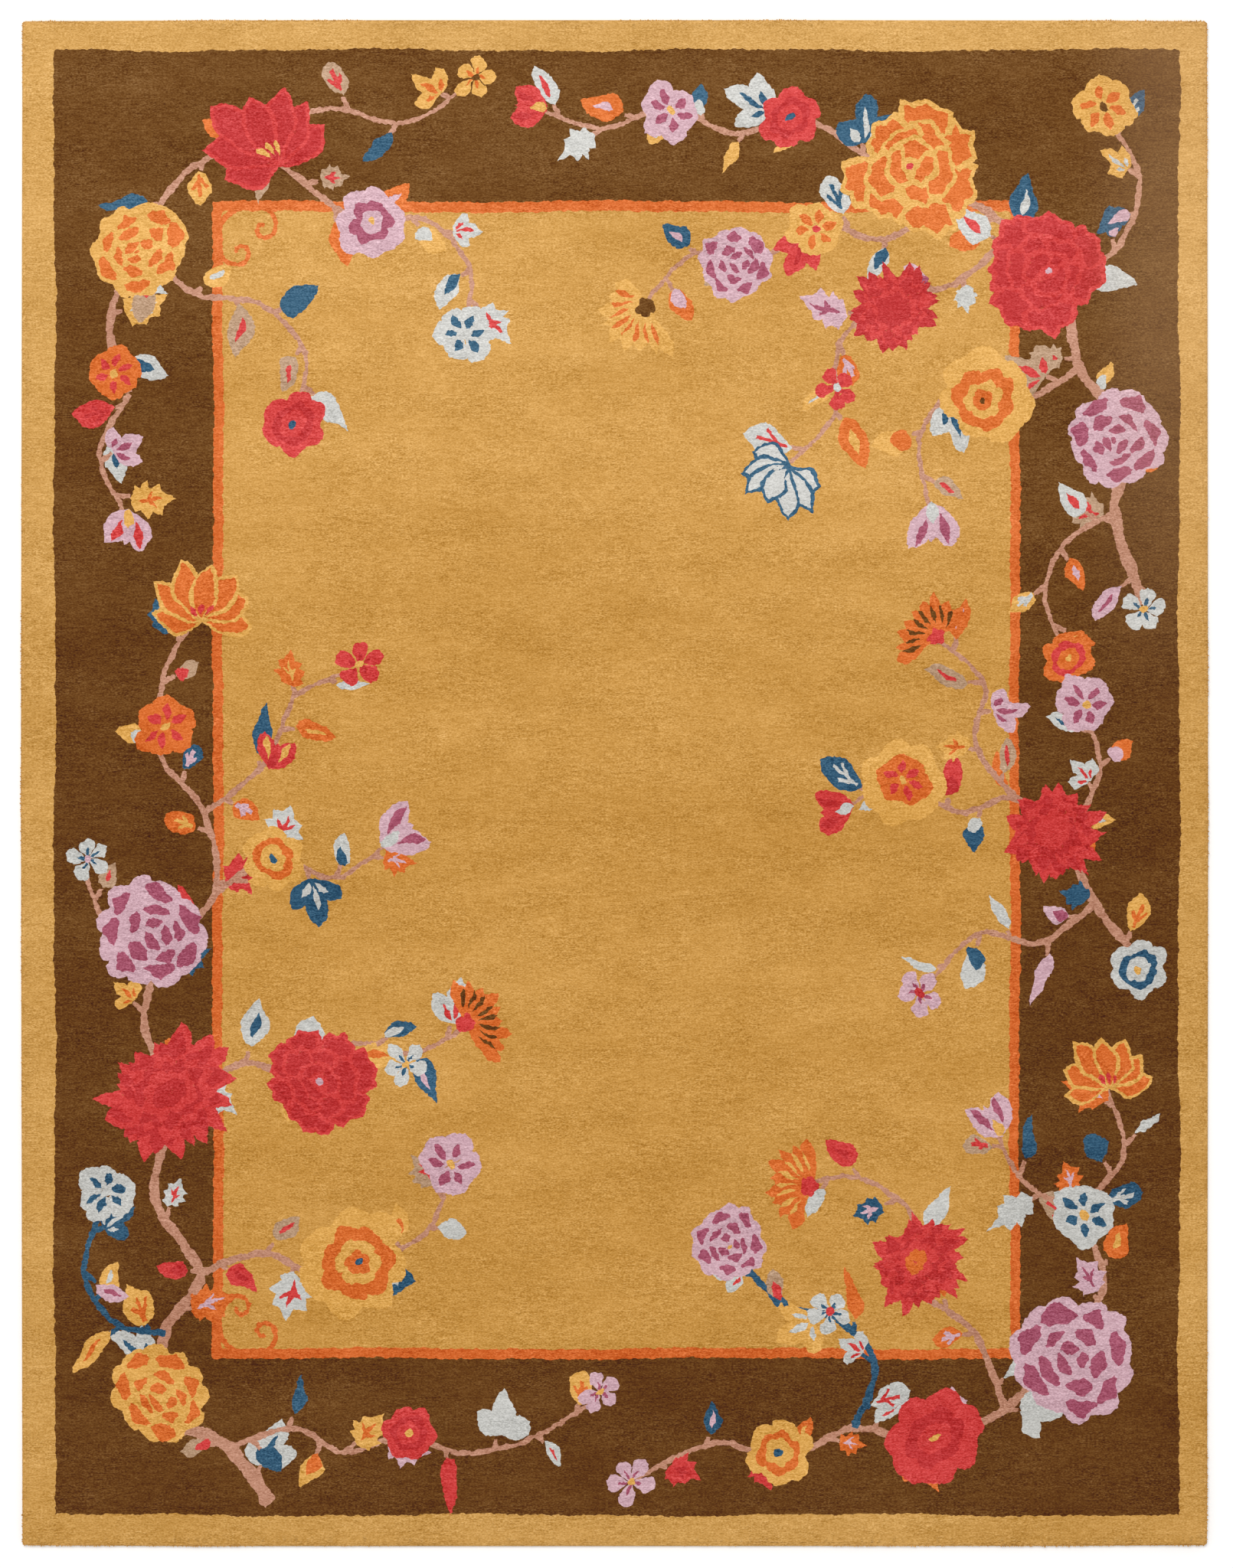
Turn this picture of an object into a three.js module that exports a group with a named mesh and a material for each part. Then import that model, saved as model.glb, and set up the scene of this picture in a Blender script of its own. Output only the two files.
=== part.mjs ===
// A hand-tufted wool rug lying flat on the floor: cut pile on a glued cloth backing, made in one piece.
// Millimetres, +Z up. The origin is on the floor under the middle of the rug, +X runs across its width
// and +Y along its length, towards the end that is at the top when the pattern is seen upright.

import * as THREE from 'three';

// Driving dimensions
const rugWidth = 2370;
const rugLength = 3050;
const backingThickness = 3;
const pileHeight = 10;
const cornerRadius = 9;
const outlineStep = 45; // between two points along a side
const cornerSteps = 4; // facets round each corner

// Cut pile leans out past the backing, then rounds over to the sheared top.
const thickness = backingThickness + pileHeight;
const pileLean = 4.5;
const rimRound = 8;

const wool = new THREE.MeshStandardMaterial({ color: '#cc9649', roughness: 0.95, metalness: 0 });

// Each side of a tufted rug wanders by a few millimetres, in one slow bow and a shorter ripple.
const sideWaves = {
  bottom: { bow: 1.2, bowWaves: 1.5, bowStart: 0.4, ripple: 0.7, rippleWaves: 7, rippleStart: 1.1 },
  right: { bow: 1.8, bowWaves: 1.8, bowStart: 2.2, ripple: 0.8, rippleWaves: 9, rippleStart: 0.2 },
  top: { bow: 2.0, bowWaves: 2.6, bowStart: 1.3, ripple: 0.9, rippleWaves: 8, rippleStart: 2.7 },
  left: { bow: 2.2, bowWaves: 1.2, bowStart: 4.1, ripple: 0.8, rippleWaves: 10, rippleStart: 0.9 },
};

// How far a side lies outside the straight line at a share from 0 to 1 of its length. It is nothing at the corners.
function sideOffset(side, share) {
  const { bow, bowWaves, bowStart, ripple, rippleWaves, rippleStart } = sideWaves[side];
  const slow = bow * Math.sin(2 * Math.PI * bowWaves * share + bowStart);
  const quick = ripple * Math.sin(2 * Math.PI * rippleWaves * share + rippleStart);
  const fade = Math.min(1, 12 * share, 12 * (1 - share));
  return (slow + quick) * fade;
}

// The outline seen from above, anticlockwise, starting at the left end of the bottom side.
function rugOutline() {
  const halfWidth = rugWidth / 2;
  const halfLength = rugLength / 2;
  const sides = [
    { name: 'bottom', from: [-halfWidth, -halfLength], along: [1, 0], out: [0, -1], length: rugWidth },
    { name: 'right', from: [halfWidth, -halfLength], along: [0, 1], out: [1, 0], length: rugLength },
    { name: 'top', from: [halfWidth, halfLength], along: [-1, 0], out: [0, 1], length: rugWidth },
    { name: 'left', from: [-halfWidth, halfLength], along: [0, -1], out: [-1, 0], length: rugLength },
  ];
  const points = [];
  for (const side of sides) {
    const straight = side.length - 2 * cornerRadius;
    const steps = Math.round(straight / outlineStep);
    for (let i = 0; i <= steps; i += 1) {
      const share = i / steps;
      const along = cornerRadius + straight * share;
      const offset = sideOffset(side.name, share);
      points.push(new THREE.Vector2(
        side.from[0] + side.along[0] * along + side.out[0] * offset,
        side.from[1] + side.along[1] * along + side.out[1] * offset,
      ));
    }
    // the quarter turn to the next side
    const centre = new THREE.Vector2(
      side.from[0] + side.along[0] * (side.length - cornerRadius) - side.out[0] * cornerRadius,
      side.from[1] + side.along[1] * (side.length - cornerRadius) - side.out[1] * cornerRadius,
    );
    for (let i = 1; i < cornerSteps; i += 1) {
      const turn = (Math.PI / 2) * (i / cornerSteps);
      points.push(new THREE.Vector2(
        centre.x + cornerRadius * (side.out[0] * Math.cos(turn) + side.along[0] * Math.sin(turn)),
        centre.y + cornerRadius * (side.out[1] * Math.cos(turn) + side.along[1] * Math.sin(turn)),
      ));
    }
  }
  return points;
}

// The rim from the floor up to the top: height above the floor, and distance inside the outline.
const rimProfile = [
  { height: 0, inset: pileLean },
  { height: backingThickness, inset: pileLean * 0.85 },
  { height: backingThickness + pileHeight * 0.25, inset: pileLean * 0.2 },
  { height: backingThickness + pileHeight * 0.48, inset: 0 },
  { height: backingThickness + pileHeight * 0.72, inset: rimRound * 0.1 },
  { height: backingThickness + pileHeight * 0.9, inset: rimRound * 0.38 },
  { height: thickness, inset: rimRound },
];

// One closed solid: the outline repeated at each row of the rim, with a flat face below and above.
function tuftedSlab(outline, profile) {
  const count = outline.length;
  const positions = [];
  for (const { height, inset } of profile) {
    const scaleX = 1 - inset / (rugWidth / 2);
    const scaleY = 1 - inset / (rugLength / 2);
    for (const point of outline) {
      positions.push(point.x * scaleX, point.y * scaleY, height);
    }
  }
  const bottomCentre = positions.length / 3;
  positions.push(0, 0, 0);
  const topCentre = bottomCentre + 1;
  positions.push(0, 0, thickness);

  const faces = [];
  const topRow = (profile.length - 1) * count;
  for (let i = 0; i < count; i += 1) {
    const next = (i + 1) % count;
    for (let row = 0; row < profile.length - 1; row += 1) {
      const low = row * count;
      const high = low + count;
      faces.push(low + i, low + next, high + next, low + i, high + next, high + i);
    }
    faces.push(bottomCentre, next, i);
    faces.push(topCentre, topRow + i, topRow + next);
  }
  const geometry = new THREE.BufferGeometry();
  geometry.setAttribute('position', new THREE.Float32BufferAttribute(positions, 3));
  geometry.setIndex(faces);
  geometry.computeVertexNormals();
  return geometry;
}

const rug = new THREE.Mesh(tuftedSlab(rugOutline(), rimProfile), wool);
rug.name = 'rug';

const tuftedRug = new THREE.Group();
tuftedRug.add(rug);

export default tuftedRug;
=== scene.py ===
import math
import random

import bpy
import numpy as np
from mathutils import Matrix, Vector
from mathutils.geometry import delaunay_2d_cdt


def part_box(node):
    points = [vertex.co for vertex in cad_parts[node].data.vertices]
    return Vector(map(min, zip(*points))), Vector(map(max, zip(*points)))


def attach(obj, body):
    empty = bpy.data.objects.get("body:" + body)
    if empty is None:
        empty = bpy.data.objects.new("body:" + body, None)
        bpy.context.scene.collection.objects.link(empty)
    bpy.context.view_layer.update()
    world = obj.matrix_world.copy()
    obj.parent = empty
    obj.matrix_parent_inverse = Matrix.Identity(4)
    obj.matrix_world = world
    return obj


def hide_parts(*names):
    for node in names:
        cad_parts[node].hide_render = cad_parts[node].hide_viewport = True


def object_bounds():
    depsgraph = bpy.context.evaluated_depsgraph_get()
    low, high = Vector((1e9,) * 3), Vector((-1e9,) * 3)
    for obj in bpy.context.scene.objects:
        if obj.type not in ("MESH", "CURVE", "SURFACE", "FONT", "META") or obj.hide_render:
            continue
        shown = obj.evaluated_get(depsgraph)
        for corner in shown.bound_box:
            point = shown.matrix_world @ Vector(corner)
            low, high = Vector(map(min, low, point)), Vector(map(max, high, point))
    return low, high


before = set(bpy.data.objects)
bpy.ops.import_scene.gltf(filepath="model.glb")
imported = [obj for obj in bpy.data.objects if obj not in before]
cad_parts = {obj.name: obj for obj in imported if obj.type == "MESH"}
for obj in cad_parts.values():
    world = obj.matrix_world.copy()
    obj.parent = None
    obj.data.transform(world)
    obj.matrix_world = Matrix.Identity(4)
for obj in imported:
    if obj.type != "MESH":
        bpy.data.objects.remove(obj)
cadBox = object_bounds()
slabLow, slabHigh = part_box("rug")
bpy.ops.object.select_all(action="DESELECT")
mm = 0.001
fullTurn = 6.28  # radians


def linearColour(hexColour):
    channels = [int(hexColour[i:i + 2], 16) / 255 for i in (1, 3, 5)]
    return tuple(c / 12.92 if c <= 0.04045 else ((c + 0.055) / 1.055) ** 2.4 for c in channels) + (1.0,)


# Dyed wool yarns, as they look in the rug
yarns = {
    "edge": "#d09d53", "ochre": "#cd9749", "brown": "#673d0e", "line": "#d8692b", "orange": "#db6d2c",
    "gold": "#e1a956", "coral": "#d23e3d", "crimson": "#bf2f31", "lilac": "#d1aab4", "mauve": "#a55269",
    "blue": "#305974", "ice": "#c8c7c2", "stem": "#c08a71", "taupe": "#b99678",
}
yarnNames = list(yarns)

# The drawing of the rug, seen from above. A motif is a list of (yarn, outline), the lowest first, drawn
# about 0, 0 and opening along +Y.
hand = random.Random(23)  # the unevenness of hand-guided tufting


def placed(points, turn=0.0, x=0.0, y=0.0):
    c, s = math.cos(turn), math.sin(turn)
    return [(x + c * px - s * py, y + s * px + c * py) for px, py in points]


# A smooth curve through the points
def smoothLine(points, steps=8):
    line = []
    last = len(points) - 1
    for i in range(last):
        near = [points[min(max(i + k, 0), last)] for k in (-1, 0, 1, 2)]
        for k in range(steps):
            t = k / steps
            line.append(tuple(
                0.5 * (2 * b + (c - a) * t + (2 * a - 5 * b + 4 * c - d) * t ** 2
                       + (3 * b - 3 * c + d - a) * t ** 3)
                for a, b, c, d in zip(*near)))
    line.append(points[-1])
    return line


def headingAt(line, i):
    ax, ay = line[max(i - 1, 0)]
    bx, by = line[min(i + 1, len(line) - 1)]
    size = math.hypot(bx - ax, by - ay) or 1.0
    return (bx - ax) / size, (by - ay) / size


# A line of changing width, a little knotty
def ribbon(line, startWidth, endWidth):
    left, right = [], []
    for i, (x, y) in enumerate(line):
        dx, dy = headingAt(line, i)
        width = startWidth + (endWidth - startWidth) * i / (len(line) - 1)
        half = 0.5 * width * (1 + 0.2 * math.sin(i * 1.9))
        left.append((x - dy * half, y + dx * half))
        right.append((x + dy * half, y - dx * half))
    return left + right[::-1]


# A petal or leaf. widest: how far up; blunt: below 1 has fuller ends; bend: how far the tip goes sideways
def petal(length, width, widest=0.6, blunt=0.8, base=0.0, bend=0.0, steps=9):
    power = math.log(0.5) / math.log(widest)
    right, left = [], []
    for i in range(1, steps):
        t = i / steps
        half = width / 2 * math.sin(math.pi * t ** power) ** blunt
        y = base + (length - base) * t
        middle = bend * length * (y / length) ** 2
        right.append((middle + half, y))
        left.append((middle - half, y))
    return [(bend * length * (base / length) ** 2, base)] + right + [(bend * length, length)] + left[::-1]


# A piece of a ring with a wavy outer edge
def ruffle(span, inner, outer, waves=3, depth=0.05, steps=12):
    points = []
    for i in range(steps + 1):
        u = 2 * i / steps - 1
        r = outer * (1 - 0.2 * abs(u) ** 3) * (1 + depth * math.cos(waves * math.pi * u))
        points.append((r * math.sin(u * span / 2), r * math.cos(u * span / 2)))
    for u in (0.55, 0, -0.55):
        points.append((inner * math.sin(u * span / 2), inner * math.cos(u * span / 2)))
    return points


# A round outline, or a lobed one
def disc(radius, lobes=0, depth=0.0, steps=28, start=0.0):
    points = []
    for i in range(steps):
        a = 2 * math.pi * i / steps
        lobe = 1 - depth + depth * abs(math.cos(lobes * (a + start) / 2)) ** 0.6
        points.append((radius * lobe * math.cos(a), radius * lobe * math.sin(a)))
    return points


# Directions all round, each up to a share of a step off its place
def around(count, loose=0.0):
    start = hand.uniform(0, fullTurn)
    return [start + 2 * math.pi * (i + loose * hand.uniform(-1, 1)) / count for i in range(count)]


# Flowers. Each takes its radius and the yarns of its rim or outer petals, its inner ones and its heart.
def peony(radius, outer, inner, heart):
    made = [(outer, disc(radius * 0.74))]
    edge = max(6.5, 0.075 * radius)
    for count, low, high in ((7, 0.5, 1.0), (5, 0.24, 0.69), (3, 0.05, 0.40)):
        for a in around(count, 0.2):
            span = 2 * math.pi / count * hand.uniform(1.1, 1.5)
            tip = high * radius * hand.uniform(0.88, 1.08)
            made.append((outer, placed(ruffle(span, low * radius, tip), a)))
            narrow = span - 2.6 * edge / tip
            made.append((inner, placed(ruffle(narrow, low * radius + edge * 1.3, tip - edge), a)))
    made.append((outer, disc(radius * 0.14, lobes=5, depth=0.25)))
    made.append((heart, disc(radius * 0.06, steps=10)))
    return made


def rose(radius, outer, inner, heart):
    made = [(outer, disc(radius, lobes=11, depth=0.12, steps=66, start=hand.uniform(0, 1)))]
    edge = max(6.0, 0.07 * radius)
    offX, offY = radius * hand.uniform(-0.12, 0.12), radius * hand.uniform(-0.12, 0.12)
    for count, low, high in ((7, 0.62, 0.9), (5, 0.34, 0.56), (3, 0.1, 0.29)):
        for a in around(count, 0.14):
            tip = high * radius * hand.uniform(0.9, 1.03)
            span = 2 * math.pi / count * hand.uniform(0.85, 1.06) - 1.5 * edge / tip
            shape = ruffle(span, low * radius, tip, waves=2, depth=0.04)
            made.append((inner, placed(shape, a, offX * (1 - high), offY * (1 - high))))
    made.append((heart, placed(disc(radius * 0.055, steps=10), 0, offX, offY)))
    return made


def chrysanthemum(radius, outer, inner, heart):
    made = [(outer, disc(radius * 0.72))]
    rings = ((20, 1.0, outer), (18, 0.84, inner), (15, 0.7, outer), (13, 0.55, inner), (10, 0.42, outer),
             (7, 0.26, heart))
    for count, reach, yarn in rings:
        for a in around(count, 0.25):
            length = radius * reach * hand.uniform(0.82, 1.08)
            width = 2 * math.pi * radius * reach / count * 0.95
            shape = petal(length, width, widest=0.64, blunt=1.0, bend=hand.uniform(-0.14, 0.14))
            made.append((yarn, placed(shape, a)))
    return made


def lotus(radius, outer, inner, heart):
    made = []
    foot = -radius * 0.55
    tipRim, sideRims = 9, 15
    fan = ((-84, 0.76), (80, 0.8), (-54, 0.96), (50, 0.9), (-25, 1.08), (29, 1.0), (2, 0.9))
    for degrees, reach in fan:
        a = math.radians(-degrees)
        length, width = radius * reach * 1.35, radius * 0.64
        made.append((outer, placed(petal(length, width, widest=0.56, blunt=0.85), a, 0, foot)))
        filling = petal(length - tipRim, width - sideRims, widest=0.56, blunt=0.85, base=tipRim)
        made.append((inner, placed(filling, a, 0, foot)))
    for a in (-0.5, 0.05, 0.55):
        stamen = petal(radius * 0.42, radius * 0.12, widest=0.7, base=radius * 0.12)
        made.append((heart, placed(stamen, a, 0, foot)))
    return made


def camellia(radius, outer, inner, heart):
    start = hand.uniform(0, 1)
    return [
        (outer, disc(radius, lobes=7, depth=0.18, steps=56, start=start)),
        (inner, disc(radius * 0.62, lobes=6, depth=0.24, steps=40, start=start + 0.3)),
        (outer, disc(radius * 0.34, lobes=5, depth=0.2, steps=25, start=start)),
        (heart, disc(radius * 0.1, steps=10)),
    ]


def wildRose(radius, outer, inner, heart):
    angles = around(6, 0.12)
    made = []
    for a in angles:
        length = radius * hand.uniform(0.86, 1.08)
        made.append((outer, placed(petal(length, radius * 0.88, widest=0.66, blunt=0.75), a)))
    vein = petal(radius * 0.7, radius * 0.27, widest=0.5, blunt=0.9, base=radius * 0.2)
    made += [(inner, placed(vein, a)) for a in angles]
    made.append((heart, disc(radius * 0.14, steps=12)))
    return made


def ringFlower(radius, outer, inner, heart):
    start = hand.uniform(0, 1)
    return [
        (outer, disc(radius, lobes=6, depth=0.24, steps=48, start=start)),
        (inner, disc(radius * 0.66, lobes=6, depth=0.16, steps=40, start=start)),
        (outer, disc(radius * 0.42, lobes=5, depth=0.14, steps=30)),
        (heart, disc(radius * 0.14, steps=10)),
    ]


def plum(radius, outer, inner, heart):
    angles = around(5, 0.1)
    made = []
    for a in angles:
        length = radius * hand.uniform(0.86, 1.06)
        made.append((outer, placed(petal(length, radius * 0.68, widest=0.68, blunt=0.65), a)))
    made += [(inner, placed(petal(radius * 0.5, radius * 0.14, blunt=0.9), a)) for a in angles]
    made.append((heart, disc(radius * 0.17, steps=10)))
    return made


def thistle(radius, outer, inner, heart):
    made = []
    foot = -radius * 0.5
    for i in range(9):
        length = radius * 1.5 * hand.uniform(0.8, 1)
        shape = petal(length, radius * 0.44, widest=0.66, blunt=1.0)
        made.append((outer, placed(shape, math.radians(-76 + 19 * i), 0, foot)))
    stripe = petal(radius * 1.08, radius * 0.14, blunt=0.9, base=radius * 0.45)
    for i in range(8):
        made.append((inner, placed(stripe, math.radians(-66 + 19 * i), 0, foot)))
    made.append((heart, placed(disc(radius * 0.3, lobes=5, depth=0.3), 0, 0, foot + radius * 0.08)))
    return made


def bellFlower(radius, outer, inner, heart):
    foot = -radius * 0.8
    side = petal(radius * 1.75, radius * 0.95, widest=0.55, blunt=0.75)
    made = [(outer, placed(side, a, 0, foot)) for a in (0.45, -0.45)]
    lining = petal(radius * 1.6, radius * 0.36, blunt=0.9, base=radius * 0.3)
    made += [(inner, placed(lining, a, 0, foot)) for a in (0.4, -0.36)]
    made.append((outer, placed(petal(radius * 1.4, radius * 0.5, widest=0.5), 0, 0, foot)))
    made.append((heart, placed(petal(radius * 0.8, radius * 0.42, widest=0.4), 0, 0, foot)))
    return made


# A plain pale patch behind a flower, in its outer yarn alone
def halo(radius, outer, inner, heart):
    return [(outer, disc(radius, lobes=7, depth=0.2, steps=49, start=hand.uniform(0, 1)))]


flowerKinds = {
    "peony": peony, "rose": rose, "chrysanthemum": chrysanthemum, "lotus": lotus, "camellia": camellia,
    "wildRose": wildRose, "ringFlower": ringFlower, "plum": plum, "thistle": thistle, "bell": bellFlower,
    "halo": halo,
}


# Leaves. Each takes its length and the yarns of its blade and its vein.
def plainLeaf(length, blade, vein):
    bend = hand.uniform(-0.28, 0.28)
    midrib = petal(length * 0.74, length * 0.15, widest=0.42, blunt=0.9, base=length * 0.22, bend=bend)
    return [(blade, petal(length, length * 0.52, widest=0.42, blunt=0.85, bend=bend)), (vein, midrib)]


def cuppedLeaf(length, blade, vein):
    bend = hand.uniform(-0.3, 0.3)
    return [(blade, petal(length, length * 0.6, widest=0.45, bend=bend)),
            (vein, petal(length * 0.62, length * 0.36, widest=0.42, bend=bend))]


def slimLeaf(length, blade, vein):
    bend = hand.uniform(-0.35, 0.35)
    return [(blade, petal(length * 1.15, length * 0.36, widest=0.4, blunt=0.9, bend=bend))]


def toothedLeaf(length, blade, vein):
    half = [(0.1, 0.04), (0.3, 0.1), (0.26, 0.22), (0.44, 0.4), (0.28, 0.46), (0.34, 0.66), (0.15, 0.72)]
    whole = [(0, 0)] + half + [(0, 1)] + [(-x, y) for x, y in half[::-1]]
    made = [(blade, [(x * length, y * length) for x, y in whole])]
    made.append((vein, petal(length * 0.74, length * 0.11, widest=0.4, blunt=0.9, base=length * 0.14)))
    sideVein = petal(length * 0.28, length * 0.09, widest=0.4, blunt=0.9)
    made += [(vein, placed(sideVein, a, 0, length * 0.34)) for a in (0.8, -0.8)]
    return made


def bud(length, blade, vein):
    return [(blade, petal(length * 0.9, length * 0.5, widest=0.5)),
            (vein, petal(length * 0.45, length * 0.4, widest=0.35))]


def forkedLeaf(length, blade, vein):
    bend = hand.uniform(-0.15, 0.15)
    made = [(blade, petal(length, length * 0.66, widest=0.5, blunt=0.7, bend=bend))]
    for across, low, high in ((0, 0.12, 0.72), (0.2, 0.3, 0.56), (-0.19, 0.26, 0.5)):
        line = [(0, low * length), (across * length, high * length)]
        made.append((vein, ribbon(line, startWidth=8, endWidth=6)))
    return made


def lobedLeaf(length, blade, vein):
    made = []
    for a, reach in ((0.85, 0.72), (-0.8, 0.76), (0, 1.0)):
        made.append((blade, placed(petal(length * reach, length * 0.46, widest=0.55), a)))
    for a, reach in ((0.8, 0.42), (-0.75, 0.45), (0, 0.68)):
        lobeVein = petal(length * reach, length * 0.14, widest=0.5, blunt=0.9, base=length * 0.1)
        made.append((vein, placed(lobeVein, a)))
    return made


# What is listed twice is drawn twice as often.
leafKinds = [plainLeaf, plainLeaf, cuppedLeaf, slimLeaf, toothedLeaf, bud, forkedLeaf, lobedLeaf]
leafYarns = [
    ("gold", "orange"), ("ice", "blue"), ("blue", "ice"), ("orange", "lilac"), ("lilac", "mauve"),
    ("coral", "crimson"), ("gold", "orange"), ("blue", "lilac"), ("ice", "coral"), ("taupe", "coral"),
    ("gold", "ice"), ("brown", "coral"), ("orange", "gold"), ("blue", "blue"), ("ice", "ice"),
]

# Branches: the points that each follows, its widths where it starts and ends, and how many leaves it bears
branches = [
    # the left side, rising from the bottom band
    {"wide": 24, "narrow": 13, "leaves": 6, "points": [
        (-690, -1440), (-770, -1330), (-900, -1260), (-900, -1100), (-830, -980), (-920, -830),
        (-880, -640)]},
    {"wide": 14, "narrow": 6, "leaves": 8, "points": [
        (-880, -640), (-940, -480), (-900, -330), (-800, -220), (-820, -60), (-910, 60), (-900, 220),
        (-840, 330)]},
    {"wide": 13, "narrow": 5, "leaves": 6, "points": [
        (-830, -980), (-700, -940), (-590, -990), (-480, -960), (-370, -890), (-330, -780)]},
    {"yarn": "blue", "wide": 11, "narrow": 7, "leaves": 4, "points": [
        (-900, -1100), (-1000, -1080), (-1060, -980), (-1030, -860)]},
    {"wide": 13, "narrow": 5, "leaves": 6, "points": [
        (-880, -640), (-740, -560), (-620, -590), (-520, -520), (-400, -540), (-290, -480)]},
    {"wide": 11, "narrow": 5, "leaves": 4, "points": [
        (-800, -220), (-680, -150), (-560, -190), (-450, -120)]},
    {"wide": 10, "narrow": 5, "leaves": 4, "points": [(-820, -60), (-700, 40), (-640, 170), (-540, 220)]},
    {"wide": 10, "narrow": 5, "leaves": 2, "points": [(-900, -330), (-1010, -290), (-1060, -180)]},
    {"wide": 11, "narrow": 5, "leaves": 4, "points": [
        (-770, -1330), (-640, -1290), (-540, -1340), (-430, -1300)]},
    # the top right, hanging into the field
    {"wide": 20, "narrow": 12, "leaves": 9, "points": [
        (1060, 360), (1000, 540), (1030, 700), (930, 830), (900, 990), (800, 1100), (680, 1180),
        (520, 1240)]},
    {"wide": 12, "narrow": 5, "leaves": 7, "points": [
        (520, 1240), (380, 1330), (240, 1300), (110, 1350), (-30, 1310), (-150, 1350)]},
    {"wide": 12, "narrow": 5, "leaves": 7, "points": [
        (800, 1100), (680, 1000), (560, 970), (450, 880), (440, 740), (350, 640)]},
    {"wide": 12, "narrow": 5, "leaves": 5, "points": [
        (930, 830), (800, 760), (690, 790), (610, 690), (630, 550)]},
    {"wide": 12, "narrow": 5, "leaves": 6, "points": [
        (680, 1180), (540, 1090), (400, 1120), (280, 1040), (160, 1060), (60, 960)]},
    {"wide": 12, "narrow": 5, "leaves": 4, "points": [
        (900, 990), (1010, 1080), (1050, 1210), (980, 1340)]},
    {"wide": 10, "narrow": 5, "leaves": 3, "points": [(1000, 540), (900, 480), (860, 370), (900, 270)]},
    # the bottom right
    {"wide": 8, "narrow": 16, "leaves": 8, "points": [
        (40, -1390), (200, -1320), (340, -1350), (480, -1290), (620, -1320), (780, -1250), (900, -1130)]},
    {"wide": 14, "narrow": 5, "leaves": 6, "points": [
        (900, -1130), (980, -1000), (940, -860), (1020, -740), (980, -600)]},
    {"yarn": "blue", "wide": 13, "narrow": 7, "leaves": 5, "points": [
        (480, -1290), (520, -1160), (440, -1070), (330, -1040), (240, -930)]},
    {"wide": 13, "narrow": 5, "leaves": 6, "points": [
        (780, -1250), (720, -1100), (610, -1010), (600, -870), (490, -790), (380, -800)]},
    {"wide": 10, "narrow": 5, "leaves": 3, "points": [(940, -860), (820, -800), (760, -690)]},
    # the top left
    {"wide": 6, "narrow": 14, "leaves": 8, "points": [
        (-290, 1400), (-420, 1320), (-570, 1350), (-720, 1290), (-860, 1220), (-950, 1080), (-1010, 920),
        (-970, 780)]},
    {"wide": 12, "narrow": 5, "leaves": 6, "points": [
        (-720, 1290), (-620, 1200), (-500, 1120), (-380, 1130), (-290, 1030), (-300, 920)]},
    {"wide": 12, "narrow": 5, "leaves": 5, "points": [
        (-950, 1080), (-840, 980), (-710, 960), (-620, 860), (-640, 740)]},
    {"wide": 10, "narrow": 5, "leaves": 3, "points": [(-970, 780), (-1030, 660), (-980, 540)]},
    # the right side
    {"wide": 16, "narrow": 5, "leaves": 7, "points": [
        (1050, -350), (960, -240), (900, -110), (800, -30), (690, -60), (580, 0), (460, -50)]},
    {"wide": 11, "narrow": 5, "leaves": 3, "points": [(900, -110), (970, 20), (940, 140)]},
    {"wide": 11, "narrow": 5, "leaves": 4, "points": [(800, -30), (720, 80), (740, 200), (640, 290)]},
    {"wide": 12, "narrow": 5, "leaves": 4, "points": [
        (960, -240), (850, -320), (730, -300), (630, -400)]},
    # a twig by itself in the bottom band
    {"wide": 9, "narrow": 5, "leaves": 3, "points": [
        (-400, -1310), (-300, -1340), (-190, -1320), (-110, -1280), (-40, -1235)]},
]

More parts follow.
